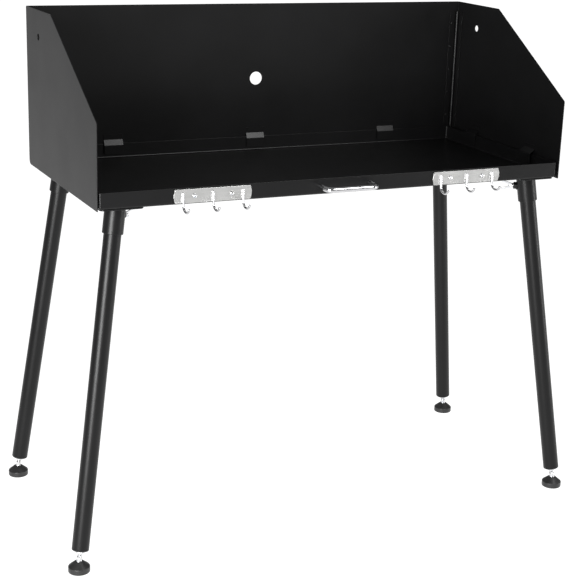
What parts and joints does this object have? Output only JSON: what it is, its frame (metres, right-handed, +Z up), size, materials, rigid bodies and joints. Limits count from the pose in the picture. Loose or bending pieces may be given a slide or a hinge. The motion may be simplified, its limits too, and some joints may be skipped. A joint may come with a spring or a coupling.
{
  "type": "camp cooking table",
  "caption": "Shallow steel tray on splayed plug-in legs, with a lift-off folding windscreen round three sides, hook rails and a pull handle on the front rim.",
  "frame": {"origin": "centre of the whole part's bounding box, on the floor under the feet", "axes": "+X to the right seen from the front, along the tray's long side; +Y from the handle towards the windscreen's back panel; +Z up"},
  "size_m": [1.078, 0.497, 0.975],
  "materials": {
    "black_powder_coat": "semi-gloss black powder coat",
    "black_plastic": "satin moulded plastic",
    "brushed_stainless": "brushed along its length",
    "polished_steel": "polished",
    "zinc_plated_steel": "bright zinc plate"
  },
  "bodies": {
    "table": {"tray": "black_powder_coat", "socket_plate_front_left": "black_powder_coat", "socket_plate_front_right": "black_powder_coat", "socket_plate_back_left": "black_powder_coat", "socket_plate_back_right": "black_powder_coat", "leg_socket_front_left": "black_powder_coat", "leg_socket_front_right": "black_powder_coat", "leg_socket_back_left": "black_powder_coat", "leg_socket_back_right": "black_powder_coat", "hook_rail_left": "brushed_stainless", "rail_screw_left_1": "zinc_plated_steel", "rail_screw_left_2": "zinc_plated_steel", "hook_left_1": "polished_steel", "hook_left_2": "polished_steel", "hook_left_3": "polished_steel", "hook_rail_right": "brushed_stainless", "rail_screw_right_1": "zinc_plated_steel", "rail_screw_right_2": "zinc_plated_steel", "hook_right_1": "polished_steel", "hook_right_2": "polished_steel", "hook_right_3": "polished_steel", "handle": "polished_steel", "handle_screw_left": "zinc_plated_steel", "handle_screw_right": "zinc_plated_steel"},
    "windscreen": {"windscreen_back": "black_powder_coat", "windscreen_left": "black_powder_coat", "windscreen_right": "black_powder_coat", "hinge_back_leaf_left": "black_powder_coat", "hinge_wing_leaf_left": "black_powder_coat", "hinge_pin_left": "zinc_plated_steel", "hinge_back_leaf_right": "black_powder_coat", "hinge_wing_leaf_right": "black_powder_coat", "hinge_pin_right": "zinc_plated_steel"},
    "leg_front_left": {"leg_tube_front_left": "black_powder_coat", "leg_end_plug_front_left": "black_plastic", "lock_nut_front_left": "zinc_plated_steel"},
    "bolt_front_left": {"wing_bolt_front_left": "zinc_plated_steel"},
    "foot_front_left": {"foot_pad_front_left": "black_plastic"},
    "stud_front_left": {"foot_stud_front_left": "zinc_plated_steel"},
    "leg_front_right": {"leg_tube_front_right": "black_powder_coat", "leg_end_plug_front_right": "black_plastic", "lock_nut_front_right": "zinc_plated_steel"},
    "bolt_front_right": {"wing_bolt_front_right": "zinc_plated_steel"},
    "foot_front_right": {"foot_pad_front_right": "black_plastic"},
    "stud_front_right": {"foot_stud_front_right": "zinc_plated_steel"},
    "leg_back_left": {"leg_tube_back_left": "black_powder_coat", "leg_end_plug_back_left": "black_plastic", "lock_nut_back_left": "zinc_plated_steel"},
    "bolt_back_left": {"wing_bolt_back_left": "zinc_plated_steel"},
    "foot_back_left": {"foot_pad_back_left": "black_plastic"},
    "stud_back_left": {"foot_stud_back_left": "zinc_plated_steel"},
    "leg_back_right": {"leg_tube_back_right": "black_powder_coat", "leg_end_plug_back_right": "black_plastic", "lock_nut_back_right": "zinc_plated_steel"},
    "bolt_back_right": {"wing_bolt_back_right": "zinc_plated_steel"},
    "foot_back_right": {"foot_pad_back_right": "black_plastic"},
    "stud_back_right": {"foot_stud_back_right": "zinc_plated_steel"}
  },
  "joints": [
    {"name": "windscreen_lift", "type": "slide", "parent": "table", "child": "windscreen", "axis": [0, 0, 1], "range_m": [0, 0.08]},
    {"name": "leg_slide_front_left", "type": "slide", "parent": "table", "child": "leg_front_left", "axis": [-0.1384, -0.0867, -0.9866], "range_m": [0, 0.07]},
    {"name": "wing_bolt_turn_front_left", "type": "hinge", "parent": "table", "child": "bolt_front_left", "pos_m": [-0.431, -0.16836, 0.6465], "axis": [0.8474, 0.5309, 0], "continuous": true},
    {"name": "foot_height_front_left", "type": "slide", "parent": "leg_front_left", "child": "foot_front_left", "axis": [-0.1384, -0.0867, -0.9866], "range_m": [0, 0.01]},
    {"name": "stud_turn_front_left", "type": "hinge", "parent": "foot_front_left", "child": "stud_front_left", "pos_m": [-0.519, -0.2235, 0.019], "axis": [-0.1384, -0.0867, -0.9866], "range_deg": [0, 2880]},
    {"name": "leg_slide_front_right", "type": "slide", "parent": "table", "child": "leg_front_right", "axis": [0.1384, -0.0867, -0.9866], "range_m": [0, 0.07]},
    {"name": "wing_bolt_turn_front_right", "type": "hinge", "parent": "table", "child": "bolt_front_right", "pos_m": [0.431, -0.16836, 0.6465], "axis": [-0.8474, 0.5309, 0], "continuous": true},
    {"name": "foot_height_front_right", "type": "slide", "parent": "leg_front_right", "child": "foot_front_right", "axis": [0.1384, -0.0867, -0.9866], "range_m": [0, 0.01]},
    {"name": "stud_turn_front_right", "type": "hinge", "parent": "foot_front_right", "child": "stud_front_right", "pos_m": [0.519, -0.2235, 0.019], "axis": [0.1384, -0.0867, -0.9866], "range_deg": [0, 2880]},
    {"name": "leg_slide_back_left", "type": "slide", "parent": "table", "child": "leg_back_left", "axis": [-0.1384, 0.0867, -0.9866], "range_m": [0, 0.07]},
    {"name": "wing_bolt_turn_back_left", "type": "hinge", "parent": "table", "child": "bolt_back_left", "pos_m": [-0.431, 0.17336, 0.6465], "axis": [0.8474, -0.5309, 0], "continuous": true},
    {"name": "foot_height_back_left", "type": "slide", "parent": "leg_back_left", "child": "foot_back_left", "axis": [-0.1384, 0.0867, -0.9866], "range_m": [0, 0.01]},
    {"name": "stud_turn_back_left", "type": "hinge", "parent": "foot_back_left", "child": "stud_back_left", "pos_m": [-0.519, 0.2285, 0.019], "axis": [-0.1384, 0.0867, -0.9866], "range_deg": [0, 2880]},
    {"name": "leg_slide_back_right", "type": "slide", "parent": "table", "child": "leg_back_right", "axis": [0.1384, 0.0867, -0.9866], "range_m": [0, 0.07]},
    {"name": "wing_bolt_turn_back_right", "type": "hinge", "parent": "table", "child": "bolt_back_right", "pos_m": [0.431, 0.17336, 0.6465], "axis": [-0.8474, -0.5309, 0], "continuous": true},
    {"name": "foot_height_back_right", "type": "slide", "parent": "leg_back_right", "child": "foot_back_right", "axis": [0.1384, 0.0867, -0.9866], "range_m": [0, 0.01]},
    {"name": "stud_turn_back_right", "type": "hinge", "parent": "foot_back_right", "child": "stud_back_right", "pos_m": [0.519, 0.2285, 0.019], "axis": [0.1384, 0.0867, -0.9866], "range_deg": [0, 2880]}
  ],
  "couplings": [
    {"joint": "stud_turn_front_left", "follows": "foot_height_front_left", "rad_per_m": 5026.5},
    {"joint": "stud_turn_front_right", "follows": "foot_height_front_right", "rad_per_m": 5026.5},
    {"joint": "stud_turn_back_left", "follows": "foot_height_back_left", "rad_per_m": 5026.5},
    {"joint": "stud_turn_back_right", "follows": "foot_height_back_right", "rad_per_m": 5026.5}
  ]
}
